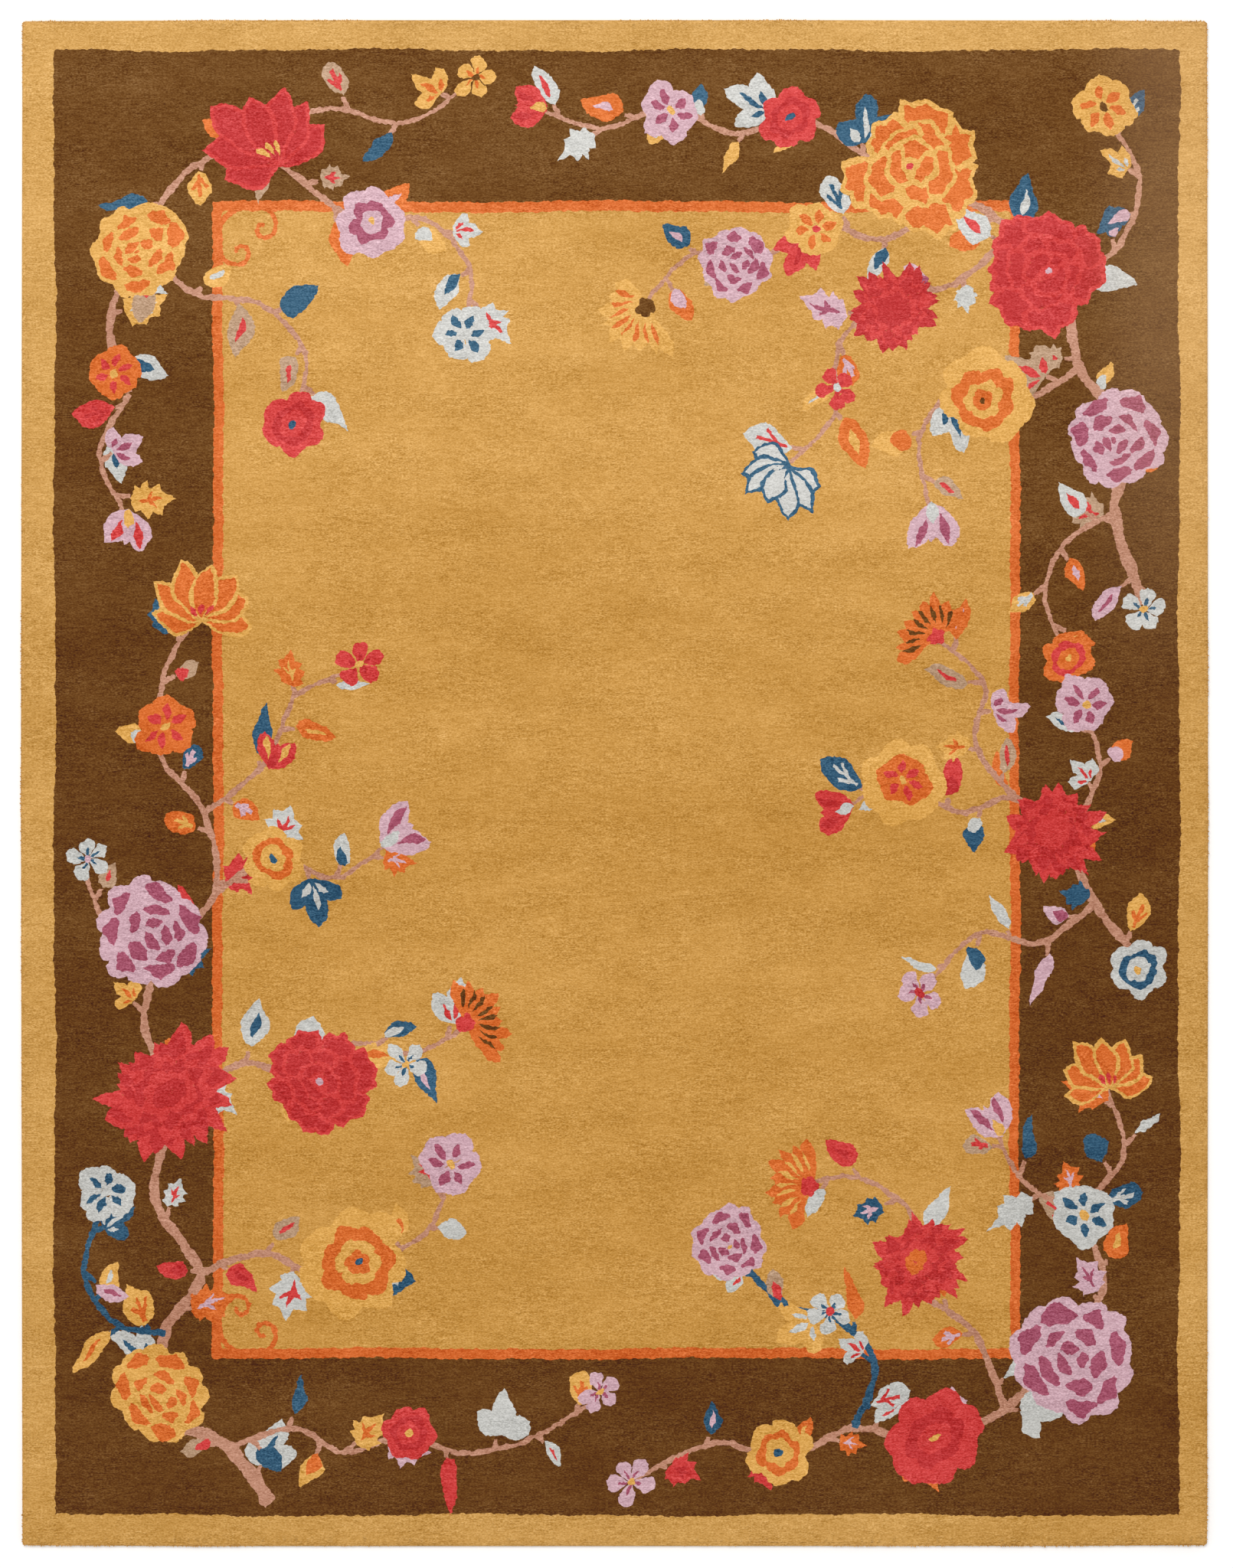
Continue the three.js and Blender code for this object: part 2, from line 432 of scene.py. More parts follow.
# Flowers: where each stands, its radius, its yarns and, in degrees, its turn.
flowers = [
    {"kind": "chrysanthemum", "at": (-890, -620), "size": 138, "yarns": ("coral", "crimson", "crimson")},
    {"kind": "rose", "at": (-930, -300), "size": 112, "turn": 20, "yarns": ("lilac", "mauve", "lilac")},
    {"kind": "peony", "at": (-590, -590), "size": 108, "yarns": ("coral", "crimson", "lilac")},
    {"kind": "halo", "at": (-520, -960), "size": 112, "yarns": ("gold", "gold", "gold")},
    {"kind": "camellia", "at": (-515, -960), "size": 76, "yarns": ("orange", "gold", "blue")},
    {"kind": "wildRose", "at": (-330, -760), "size": 66, "yarns": ("lilac", "mauve", "gold")},
    {"kind": "lotus", "at": (-820, 370), "size": 96, "turn": -10, "yarns": ("gold", "orange", "coral")},
    {"kind": "thistle", "at": (-270, -470), "size": 66, "turn": -60, "yarns": ("orange", "brown", "coral")},
    {"kind": "plum", "at": (-420, -560), "size": 46, "yarns": ("ice", "blue", "gold")},
    {"kind": "bell", "at": (-430, -100), "size": 58, "turn": -60, "yarns": ("lilac", "mauve", "ice")},
    {"kind": "ringFlower", "at": (-680, -150), "size": 64, "yarns": ("gold", "orange", "blue")},
    {"kind": "plum", "at": (-510, 240), "size": 50, "yarns": ("coral", "crimson", "gold")},
    {"kind": "wildRose", "at": (-1020, -820), "size": 60, "yarns": ("ice", "blue", "ice")},
    {"kind": "rose", "at": (-910, -1220), "size": 98, "yarns": ("gold", "orange", "gold")},
    {"kind": "plum", "at": (-1050, -150), "size": 46, "yarns": ("ice", "blue", "lilac")},
    {"kind": "wildRose", "at": (-900, 110), "size": 64, "yarns": ("orange", "coral", "gold")},
    {"kind": "bell", "at": (-680, 60), "size": 42, "turn": -20, "yarns": ("coral", "gold", "crimson")},
    {"kind": "ringFlower", "at": (-410, -1300), "size": 56, "yarns": ("coral", "crimson", "gold")},
    {"kind": "peony", "at": (600, 1230), "size": 132, "yarns": ("gold", "orange", "coral")},
    {"kind": "peony", "at": (860, 1030), "size": 122, "yarns": ("coral", "crimson", "lilac")},
    {"kind": "rose", "at": (1005, 690), "size": 100, "yarns": ("lilac", "mauve", "mauve")},
    {"kind": "lotus", "at": (330, 600), "size": 78, "turn": 150, "yarns": ("blue", "ice", "ice")},
    {"kind": "chrysanthemum", "at": (560, 950), "size": 94, "yarns": ("crimson", "coral", "crimson")},
    {"kind": "bell", "at": (635, 515), "size": 56, "turn": 180, "yarns": ("lilac", "mauve", "ice")},
    {"kind": "halo", "at": (745, 775), "size": 96, "yarns": ("gold", "gold", "gold")},
    {"kind": "camellia", "at": (740, 770), "size": 64, "yarns": ("orange", "gold", "brown")},
    {"kind": "ringFlower", "at": (350, 1330), "size": 62, "yarns": ("coral", "crimson", "blue")},
    {"kind": "wildRose", "at": (110, 1345), "size": 62, "yarns": ("lilac", "mauve", "gold")},
    {"kind": "bell", "at": (-170, 1355), "size": 46, "turn": 80, "yarns": ("coral", "crimson", "gold")},
    {"kind": "thistle", "at": (40, 930), "size": 72, "turn": 130, "yarns": ("gold", "orange", "brown")},
    {"kind": "wildRose", "at": (400, 1110), "size": 60, "yarns": ("gold", "orange", "coral")},
    {"kind": "rose", "at": (240, 1040), "size": 74, "yarns": ("lilac", "mauve", "lilac")},
    {"kind": "wildRose", "at": (980, 1350), "size": 66, "yarns": ("gold", "orange", "brown")},
    {"kind": "plum", "at": (1060, 350), "size": 50, "yarns": ("ice", "blue", "gold")},
    {"kind": "ringFlower", "at": (905, 250), "size": 54, "yarns": ("orange", "coral", "gold")},
    {"kind": "plum", "at": (445, 790), "size": 44, "yarns": ("coral", "crimson", "ice")},
    {"kind": "rose", "at": (920, -1150), "size": 126, "turn": 40, "yarns": ("lilac", "mauve", "lilac")},
    {"kind": "camellia", "at": (640, -1310), "size": 98, "yarns": ("coral", "crimson", "gold")},
    {"kind": "lotus", "at": (980, -570), "size": 84, "turn": 10, "yarns": ("gold", "orange", "coral")},
    {"kind": "wildRose", "at": (940, -860), "size": 68, "yarns": ("ice", "blue", "gold")},
    {"kind": "chrysanthemum", "at": (610, -960), "size": 102, "yarns": ("coral", "crimson", "orange")},
    {"kind": "thistle", "at": (360, -800), "size": 68, "turn": 80, "yarns": ("orange", "gold", "coral")},
    {"kind": "bell", "at": (755, -670), "size": 50, "turn": 30, "yarns": ("lilac", "mauve", "gold")},
    {"kind": "rose", "at": (230, -920), "size": 76, "yarns": ("lilac", "mauve", "gold")},
    {"kind": "ringFlower", "at": (330, -1340), "size": 68, "yarns": ("gold", "orange", "blue")},
    {"kind": "plum", "at": (30, -1395), "size": 50, "yarns": ("lilac", "mauve", "gold")},
    {"kind": "plum", "at": (430, -1060), "size": 46, "yarns": ("ice", "blue", "coral")},
    {"kind": "lotus", "at": (-700, 1300), "size": 116, "turn": 25, "yarns": ("coral", "crimson", "gold")},
    {"kind": "rose", "at": (-950, 1070), "size": 96, "yarns": ("gold", "orange", "orange")},
    {"kind": "camellia", "at": (-490, 1120), "size": 72, "yarns": ("lilac", "mauve", "gold")},
    {"kind": "wildRose", "at": (-300, 900), "size": 60, "yarns": ("ice", "blue", "ice")},
    {"kind": "ringFlower", "at": (-640, 720), "size": 66, "yarns": ("coral", "crimson", "blue")},
    {"kind": "plum", "at": (-280, 1410), "size": 46, "yarns": ("gold", "orange", "brown")},
    {"kind": "bell", "at": (-975, 510), "size": 52, "turn": 170, "yarns": ("lilac", "coral", "gold")},
    {"kind": "wildRose", "at": (-1000, 820), "size": 58, "yarns": ("orange", "coral", "gold")},
    {"kind": "chrysanthemum", "at": (880, -100), "size": 104, "yarns": ("coral", "crimson", "coral")},
    {"kind": "wildRose", "at": (940, 160), "size": 62, "yarns": ("lilac", "mauve", "gold")},
    {"kind": "halo", "at": (575, 0), "size": 88, "yarns": ("gold", "gold", "gold")},
    {"kind": "wildRose", "at": (580, 5), "size": 58, "yarns": ("orange", "coral", "gold")},
    {"kind": "bell", "at": (440, -55), "size": 48, "turn": 100, "yarns": ("coral", "crimson", "ice")},
    {"kind": "thistle", "at": (625, 310), "size": 64, "turn": 40, "yarns": ("orange", "brown", "coral")},
    {"kind": "plum", "at": (610, -420), "size": 50, "yarns": ("lilac", "mauve", "crimson")},
    {"kind": "ringFlower", "at": (1050, -370), "size": 60, "yarns": ("ice", "blue", "gold")},
    {"kind": "plum", "at": (-30, -1220), "size": 44, "yarns": ("lilac", "mauve", "gold")},
]


# A motif's outlines bent a little, by shares of its size, so that no two motifs are alike
def handDrawn(points, size, x, y, phase):
    drawn = []
    for px, py in points:
        u, v = (px - x) / size, (py - y) / size
        dx = 0.06 * math.sin(3.1 * v + phase) + 0.03 * math.sin(7.3 * (u + v) + 2 * phase)
        dy = 0.06 * math.sin(3.4 * u + 1.3 * phase) + 0.03 * math.sin(7.9 * (u - v) + phase)
        drawn.append((px + size * dx, py + size * dy))
    return drawn


# Scrolls: a pair of curls springs out of each left corner of the field. Each has its middle, the direction
# in which it starts and its turns, counted anticlockwise.
curls = [
    {"at": (-749, -1051), "start": -1.92, "turns": -1.25},
    {"at": (-703, -1097), "start": -2.79, "turns": 1.25},
    {"at": (-749, 1063), "start": 1.92, "turns": 1.25},
    {"at": (-703, 1109), "start": 2.79, "turns": -1.25},
]
curlRadius = 26


def scroll(curl, steps=28):
    x, y = curl["at"]
    line = []
    for i in range(steps + 1):
        left = 1 - i / steps
        a = curl["start"] + 2 * math.pi * curl["turns"] * (1 - left)
        r = curlRadius * (0.25 + 0.85 * left + 1.9 * left ** 6)  # a long tail, then a spiral
        line.append((x + r * math.cos(a), y + r * math.sin(a)))
    return ribbon(line, startWidth=10, endWidth=8)


# How the branches are drawn and where their leaves sit, in millimetres and radians
foliage = {
    "strayPoint": 2, "thicker": 1.15, "thickerTip": 3,  # of a branch's own line and widths
    "moreLeaves": 1.3, "leafTurn": (0.7, 1.25), "stalk": (14, 34), "stalkWidth": (10, 8), "leaf": (56, 104),
    "leafLimit": (1110, 1450),  # no leaf's tip goes further from the middle
    "brownLimit": (680, 1030),  # brown would be lost on the brown band
}


def drawnPattern():
    layers = [("line", scroll(curl)) for curl in curls]
    for branch in branches:
        line = smoothLine(branch["points"])
        stray = foliage["strayPoint"]
        line = [(x + hand.uniform(-stray, stray), y + hand.uniform(-stray, stray)) for x, y in line]
        yarn = branch.get("yarn", "stem")
        widths = foliage["thicker"] * branch["wide"], branch["narrow"] + foliage["thickerTip"]
        layers.append((yarn, ribbon(line, *widths)))
        count = round(foliage["moreLeaves"] * branch["leaves"])
        for i in range(count):
            k = int((i + 0.7) / (count + 0.35) * (len(line) - 1))
            x, y = line[k]
            dx, dy = headingAt(line, k)
            side = 1 if i % 2 else -1
            turn = math.atan2(dy, dx) - math.pi / 2 + side * hand.uniform(*foliage["leafTurn"])
            reach, length = hand.uniform(*foliage["stalk"]), hand.uniform(*foliage["leaf"])
            tipX, tipY = x - (reach + length) * math.sin(turn), y + (reach + length) * math.cos(turn)
            if abs(tipX) > foliage["leafLimit"][0] or abs(tipY) > foliage["leafLimit"][1]:
                turn += math.pi
            footX, footY = x - reach * math.sin(turn), y + reach * math.cos(turn)
            stalk = [(x, y), ((x + footX) / 2 + 2, (y + footY) / 2), (footX, footY)]
            layers.append((yarn, ribbon(stalk, *foliage["stalkWidth"])))
            kind = hand.choice(leafKinds)
            blade, vein = hand.choice(leafYarns)
            brownX, brownY = foliage["brownLimit"]
            if blade == "brown" and not (abs(footX) < brownX and abs(footY) < brownY):
                blade = "taupe"
            for part, shape in kind(length, blade, vein):
                leaf = placed(shape, turn, footX, footY)
                layers.append((part, handDrawn(leaf, length, footX, footY, phase=i)))
    for i, flower in enumerate(flowers):
        (x, y), size, turn = flower["at"], flower["size"], math.radians(flower.get("turn", 0))
        for yarn, shape in flowerKinds[flower["kind"]](size, *flower["yarns"]):
            layers.append((yarn, handDrawn(placed(shape, turn, x, y), size, x, y, phase=i * 1.7)))
    return layers


# The rug itself. Its outline is the solid's, whose sides wander by a few millimetres.
rug = {
    "width": 2370, "length": 3050, "backing": 3, "pile": 10, "corner": 6, "lean": 4.5, "rimRound": 8,
    "tuftStep": 4.6,  # between two points along an outline: one tuft
    "tuftJitter": 1.5, "rimJitter": 0.5,  # how far a tuft strays from its outline, and at the rim
    "lattice": 0.9,  # outlines are snapped to it
    "gridPitch": 11.5, "gridJitter": 0.28, "gridClear": 0.42, "gridMargin": 5,  # the pile between outlines
    "crease": 0.55, "clumpHeight": 0.5,  # depth between two yarns, and unevenness of the pile
}
sideWaves = {  # a slow bow and a quick ripple: each one's size, number of waves and start
    "bottom": {"bow": (1.2, 1.5, 0.4), "ripple": (0.7, 7, 1.1)},
    "right": {"bow": (1.8, 1.8, 2.2), "ripple": (0.8, 9, 0.2)},
    "top": {"bow": (2.0, 2.6, 1.3), "ripple": (0.9, 8, 2.7)},
    "left": {"bow": (2.2, 1.2, 4.1), "ripple": (0.8, 10, 0.9)},
}
rimProfile = [  # from the floor up: height, and distance inside the outline
    {"height": 0, "inset": rug["lean"]},
    {"height": rug["backing"], "inset": rug["lean"] * 0.85},
    {"height": rug["backing"] + rug["pile"] * 0.25, "inset": rug["lean"] * 0.2},
    {"height": rug["backing"] + rug["pile"] * 0.48, "inset": 0},
    {"height": rug["backing"] + rug["pile"] * 0.72, "inset": rug["rimRound"] * 0.1},
    {"height": rug["backing"] + rug["pile"] * 0.9, "inset": rug["rimRound"] * 0.38},
    {"height": rug["backing"] + rug["pile"], "inset": rug["rimRound"]},
]


def rugOutline(step):
    halfWidth, halfLength, corner = rug["width"] / 2, rug["length"] / 2, rug["corner"]
    sides = [
        ("bottom", (-halfWidth, -halfLength), (1, 0), (0, -1), rug["width"]),
        ("right", (halfWidth, -halfLength), (0, 1), (1, 0), rug["length"]),
        ("top", (halfWidth, halfLength), (-1, 0), (0, 1), rug["width"]),
        ("left", (-halfWidth, halfLength), (0, -1), (-1, 0), rug["length"]),
    ]
    points = []
    for name, start, along, out, length in sides:
        straight = length - 2 * corner
        steps = round(straight / step)
        for i in range(steps + 1):
            share = i / steps
            slow, quick = [size * math.sin(2 * math.pi * waves * share + phase)
                           for size, waves, phase in sideWaves[name].values()]
            offset = (slow + quick) * min(1, 12 * share, 12 * (1 - share))  # none at the corners
            offset += hand.uniform(-rug["rimJitter"], rug["rimJitter"])
            far = corner + straight * share
            points.append(tuple(start[k] + along[k] * far + out[k] * offset for k in (0, 1)))
        centre = [start[k] + along[k] * (length - corner) - out[k] * corner for k in (0, 1)]
        for i in (1, 2, 3):
            turn = math.pi / 2 * i / 4
            c, s = corner * math.cos(turn), corner * math.sin(turn)
            points.append(tuple(centre[k] + out[k] * c + along[k] * s for k in (0, 1)))
    return points


# Borders, from the lowest: how far each lies inside the rug's edges, and how far its sides wander.
borders = [
    {"yarn": "brown", "left": 65, "right": 56, "bottom": 61, "top": 58, "wander": 2.3, "phase": 0},
    {"yarn": "line", "left": 381.5, "right": 375, "bottom": 374, "top": 361, "wander": 1.7, "phase": 2},
    {"yarn": "ochre", "left": 401.5, "right": 394.5, "bottom": 394, "top": 382, "wander": 1.7, "phase": 2},
]
# Waves along a border's sides: share of its wander, length of one radian, and times that its phase counts
borderWaves = ((1, 118, 1), (0.5, 47, 2), (0.3, 17, 1))
borderTeeth = {"size": 0.8, "length": 5.3, "drift": 4, "driftLength": 61, "jitter": 0.9}


def borderSides(border):
    x0, x1 = -rug["width"] / 2 + border["left"], rug["width"] / 2 - border["right"]
    y0, y1 = -rug["length"] / 2 + border["bottom"], rug["length"] / 2 - border["top"]
    sides = {}
    spans = (("left", y0, y1, x0), ("right", y0, y1, x1), ("bottom", x0, x1, y0), ("top", x0, x1, y1))
    for k, (name, start, end, level) in enumerate(spans):
        along = np.linspace(start, end, round((end - start) / rug["tuftStep"]) + 1)
        phase = border["phase"] + 1.9 * k
        wander = sum(size * np.sin(along / length + turn * phase) for size, length, turn in borderWaves)
        drift = borderTeeth["drift"] * np.sin(along / borderTeeth["driftLength"] + phase)
        teeth = borderTeeth["size"] * np.sin(along / borderTeeth["length"] + drift)
        jitter = borderTeeth["jitter"]
        strays = [hand.uniform(-jitter, jitter) * rug["tuftJitter"] for _ in along]
        across = border["wander"] * wander + teeth + strays
        across[[0, -1]] = 0  # so that the sides meet at the corners
        sides[name] = (along, level + across)
    return sides


def insideBorder(points, sides):
    x, y = points[:, 0], points[:, 1]
    return ((x > np.interp(y, *sides["left"])) & (x < np.interp(y, *sides["right"]))
            & (y > np.interp(x, *sides["bottom"])) & (y < np.interp(x, *sides["top"])))


# A tufted outline turns from tuft to tuft, not smoothly.
def tufted(outline):
    kept = []
    for point in outline:
        if not kept or math.dist(point, kept[-1]) > 0.5 * rug["tuftStep"]:
            kept.append(point)
    fine = []
    for i, (ax, ay) in enumerate(kept):
        bx, by = kept[(i + 1) % len(kept)]
        parts = max(1, round(math.hypot(bx - ax, by - ay) / rug["tuftStep"]))
        fine += [(ax + (bx - ax) * k / parts, ay + (by - ay) * k / parts) for k in range(parts)]
    jitter = rug["tuftJitter"]
    strayed = [(x + hand.uniform(-jitter, jitter), y + hand.uniform(-jitter, jitter)) for x, y in fine]
    return np.array(strayed)


# Counts how often the outline winds round each point, so that one that crosses itself has no hole.
def insideOutline(points, outline):
    x, y = points[:, :1], points[:, 1:]
    ax, ay = outline.T
    bx, by = np.roll(outline, -1, axis=0).T
    rising, falling = (ay <= y) & (by > y), (by <= y) & (ay > y)
    slope = (bx - ax) / np.where(by == ay, 1, by - ay)
    beyond = x < ax + (y - ay) * slope
    return (rising & beyond).sum(1) != (falling & beyond).sum(1)


# Which yarn lies on top at each point
def topYarns(points, borderList, layers):
    order = np.argsort(points[:, 0])
    ranked = points[order]
    found = np.full(len(points), yarnNames.index("edge"))
    for yarn, sides in borderList:
        found[insideBorder(ranked, sides)] = yarnNames.index(yarn)
    for yarn, outline in layers:
        (x0, y0), (x1, y1) = outline.min(0), outline.max(0)
        first, last = np.searchsorted(ranked[:, 0], (x0, x1))
        near = first + np.flatnonzero((ranked[first:last, 1] >= y0) & (ranked[first:last, 1] <= y1))
        if len(near):
            found[near[insideOutline(ranked[near], outline)]] = yarnNames.index(yarn)
    result = np.empty_like(found)
    result[order] = found
    return result


borderList = [(border["yarn"], borderSides(border)) for border in borders]
layers = [(yarn, tufted(outline)) for yarn, outline in drawnPattern()]
print("pattern drawn:", len(layers), "shapes")

# Every stretch of outline that parts two yarns is kept. The rest is hidden under what lies on top.
starts, ends = [], []
for _, sides in borderList:
    for name, (along, level) in sides.items():
        line = np.column_stack((level, along) if name in ("left", "right") else (along, level))
        starts.append(line[:-1])
        ends.append(line[1:])
for _, outline in layers:
    starts.append(outline)
    ends.append(np.roll(outline, -1, axis=0))
starts, ends = np.concatenate(starts), np.concatenate(ends)
across = (ends - starts)[:, ::-1] * (1, -1)
across *= 0.5 / np.maximum(np.linalg.norm(across, axis=1, keepdims=True), 1e-6)  # half a millimetre
parting = np.zeros(len(starts), bool)
for share in (0.15, 0.5, 0.85):
    middle = starts + (ends - starts) * share
    oneSide, otherSide = [topYarns(middle + way * across, borderList, layers) for way in (1, -1)]
    parting |= oneSide != otherSide
starts, ends = starts[parting], ends[parting]
print("colour edges kept:", len(starts))


def snapped(points, edges):
    lattice = rug["lattice"]
    cells, where = np.unique(np.round(points / lattice).astype(int), axis=0, return_inverse=True)
    edges = np.sort(where.ravel()[edges], axis=1)
    return cells * lattice, np.unique(edges[edges[:, 0] != edges[:, 1]], axis=0)


# The first pass finds where edges cross, and the second, further down, fills the sheet between them. Both
# fill the hull of the points, so the sheet's edge bridges the shallow hollows in the rug's sides.
nearness = 1e-5
wholeHull = 0
points, edges = snapped(np.concatenate((starts, ends)), np.arange(2 * len(starts)).reshape(2, -1).T)
crossed = delaunay_2d_cdt([Vector(p) for p in points], edges.tolist(), [], wholeHull, nearness, True)
kept = [edge for edge, origin in zip(crossed[1], crossed[4]) if origin]
points, edges = snapped(np.array([tuple(v) for v in crossed[0]]), np.array(kept))

# The sheared pile between the outlines: a jittered grid that keeps clear of them
rim = np.array(rugOutline(rug["tuftStep"]))
topRim = rim * (1 - rimProfile[-1]["inset"] / np.array((rug["width"], rug["length"])) * 2)
pitch = rug["gridPitch"]
rowPitch = 0.87  # of the pitch, as between rows of even triangles
chance = np.random.default_rng(5)
columns, rows = int(rug["width"] / pitch) + 1, int(rug["length"] / (rowPitch * pitch)) + 1
i, j = np.meshgrid(np.arange(columns), np.arange(rows))
grid = np.column_stack(((i + 0.5 * (j % 2)).ravel() * pitch, j.ravel() * pitch * rowPitch))
jitter = rug["gridJitter"]
grid += chance.uniform(-jitter, jitter, grid.shape) * pitch - (rug["width"] / 2, rug["length"] / 2)
halfTop = np.array((rug["width"], rug["length"])) / 2 - rug["rimRound"] - rug["gridMargin"]
grid = grid[(np.abs(grid) < halfTop).all(1)]
cellSize = rug["gridClear"] * pitch
cellOrigin = 4000  # well outside the rug


def cellsOf(xy):
    return np.floor((xy + cellOrigin) / cellSize).astype(int)


taken = set()
for cx, cy in cellsOf(points):
    taken.update((cx + a, cy + b) for a in (-1, 0, 1) for b in (-1, 0, 1))
grid = np.array([p for p, cell in zip(grid, cellsOf(grid)) if tuple(cell) not in taken])
allPoints = np.concatenate((topRim, points, grid))
ringEdges = [(k, (k + 1) % len(topRim)) for k in range(len(topRim))]
allEdges = ringEdges + (edges + len(topRim)).tolist()
flat = delaunay_2d_cdt([Vector(p) for p in allPoints], allEdges, [], wholeHull, nearness, False)
flatPoints = np.array([tuple(v) for v in flat[0]])
triangles = np.array(flat[2])
centres = flatPoints[triangles].mean(1)
yarnOfTriangle = topYarns(centres, borderList, layers)
print("top sheet:", len(flatPoints), "points,", len(triangles), "triangles")

# Pile heights: low where two yarns part, which is where the triangles round a point differ in yarn, and a
# little uneven elsewhere
lowest = np.full(len(flatPoints), len(yarns))
highest = np.full(len(flatPoints), -1)
for corner in range(3):
    np.minimum.at(lowest, triangles[:, corner], yarnOfTriangle)
    np.maximum.at(highest, triangles[:, corner], yarnOfTriangle)
heights = chance.uniform(-1, 1, len(flatPoints)) * rug["clumpHeight"] * 0.5
heights -= np.where(lowest != highest, rug["crease"], 0)
swell = {"size": 0.15, "length": 37, "drift": 2, "driftLength": 61}  # each length is that of one radian
drift = swell["drift"] * np.sin(flatPoints[:, 1] / swell["driftLength"])
heights += swell["size"] * np.sin(flatPoints[:, 0] / swell["length"] + drift)
top = rug["backing"] + rug["pile"]
coords = np.column_stack((flatPoints, top + heights)) * mm
coords[:, 2] += slabLow.z

sheetMesh = bpy.data.meshes.new("tuftedRug")
sheetMesh.from_pydata(coords.tolist(), [], triangles.tolist())
tuftedRug = bpy.data.objects.new("tuftedRug", sheetMesh)
bpy.context.scene.collection.objects.link(tuftedRug)


def onlyActive(piece):
    bpy.ops.object.select_all(action="DESELECT")
    piece.select_set(True)
    bpy.context.view_layer.objects.active = piece


# The rim: the sheet's own edge is drawn down over the leaning pile, and closed by the backing underneath.
onlyActive(tuftedRug)
bpy.ops.object.mode_set(mode="EDIT")
bpy.ops.mesh.select_mode(type="EDGE")
bpy.ops.mesh.select_all(action="DESELECT")
bpy.ops.mesh.select_non_manifold()
half = (rug["width"] / 2, rug["length"] / 2)
for above, below in zip(rimProfile[:0:-1], rimProfile[-2::-1]):
    drop = (below["height"] - above["height"]) * mm
    bpy.ops.mesh.extrude_edges_move(TRANSFORM_OT_translate={"value": (0, 0, drop)})
    grow = [(1 - below["inset"] / h) / (1 - above["inset"] / h) for h in half]
    bpy.ops.transform.resize(value=(*grow, 1), center_override=(0, 0, 0))
bpy.ops.transform.resize(value=(1, 1, 0), center_override=(0, 0, slabLow.z))  # the backing lies flat
bpy.ops.mesh.edge_face_add()
bpy.ops.mesh.select_all(action="SELECT")
bpy.ops.mesh.normals_make_consistent(inside=False)
bpy.ops.object.mode_set(mode="OBJECT")
bpy.ops.object.shade_smooth()

polygons = sheetMesh.polygons
faceCentres = np.empty(len(polygons) * 3)
faceNormals = np.empty(len(polygons) * 3)
polygons.foreach_get("center", faceCentres)
polygons.foreach_get("normal", faceNormals)
faceCentres, faceNormals = faceCentres.reshape(-1, 3), faceNormals.reshape(-1, 3)
underneath = (faceNormals[:, 2] < -0.9) & (faceCentres[:, 2] < slabLow.z + 1 * mm)
faceYarns = topYarns(faceCentres[:, :2] / mm, borderList, layers)
faceYarns[faceNormals[:, 2] < 0.5] = yarnNames.index("edge")
print("faces:", len(polygons), "underneath:", int(underneath.sum()))

loopCounts = np.empty(len(polygons), int)
polygons.foreach_get("loop_total", loopCounts)
dim = 0.905  # the light gives a little more than full white, so the yarns are that much darker
palette = np.array([linearColour(hexColour) for hexColour in yarns.values()]) * (dim, dim, dim, 1)
yarnColours = sheetMesh.color_attributes.new("yarn", "FLOAT_COLOR", "CORNER")
yarnColours.data.foreach_set("color", np.repeat(palette[faceYarns], loopCounts, axis=0).ravel())
polygons.foreach_set("material_index", underneath.astype(int))

# A flat map for the bake: the pile seen from above, and the backing in a narrow strip below it
vertexIndex = np.empty(len(sheetMesh.loops), int)
sheetMesh.loops.foreach_get("vertex_index", vertexIndex)
vertexCoords = np.empty(len(sheetMesh.vertices) * 3)
sheetMesh.vertices.foreach_get("co", vertexCoords)
vertexCoords = vertexCoords.reshape(-1, 3)
span = vertexCoords.max(0) - vertexCoords.min(0)
mapped = ((vertexCoords - vertexCoords.min(0)) / span)[vertexIndex][:, :2]
backingLoop = np.repeat(underneath, loopCounts)
margin, strip, pileFrom = 0.002, 0.02, 0.03
pileSpan = 1 - margin - pileFrom
mapped[:, 1] = np.where(backingLoop, margin + strip * mapped[:, 1], pileFrom + pileSpan * mapped[:, 1])
mapped[:, 0] = margin + (1 - 2 * margin) * mapped[:, 0]
sheetMesh.uv_layers.new(name="OFBake").data.foreach_set("uv", mapped.ravel())

# One tuft of the rim: a cut end of yarn, a little thicker at its blooming tip
rimTuft = {
    "sides": 5, "rootRadius": 1.3, "tipRadius": 1.7, "height": 8.6, "tipRound": 0.8, "tipShrink": 0.45,
    "spacing": 4.4, "rootHeight": 3.4, "size": (0.85, 1.15), "tall": (0.88, 1.0), "leanSpread": 0.07,
    "sideways": 0.06,
    "rows": [{"inset": 1.8, "lean": 0.16, "taller": 0}, {"inset": 5.6, "lean": 0.06, "taller": 0.05}],
}
bpy.ops.object.select_all(action="DESELECT")
bpy.ops.mesh.primitive_cone_add(
    vertices=rimTuft["sides"], radius1=rimTuft["rootRadius"] * mm, radius2=rimTuft["tipRadius"] * mm,
    depth=rimTuft["height"] * mm, location=(0, 0, rimTuft["height"] / 2 * mm))
oneTuft = bpy.context.object
bpy.ops.object.transform_apply(location=True, rotation=False, scale=False)
bpy.ops.object.mode_set(mode="EDIT")
bpy.ops.mesh.select_mode(type="FACE")
bpy.ops.mesh.select_all(action="DESELECT")
bpy.ops.object.mode_set(mode="OBJECT")
for face in oneTuft.data.polygons:
    face.select = face.normal.z > 0.9
bpy.ops.object.mode_set(mode="EDIT")
bpy.ops.mesh.extrude_region_move(TRANSFORM_OT_translate={"value": (0, 0, rimTuft["tipRound"] * mm)})
bpy.ops.transform.resize(value=(rimTuft["tipShrink"], rimTuft["tipShrink"], 1))
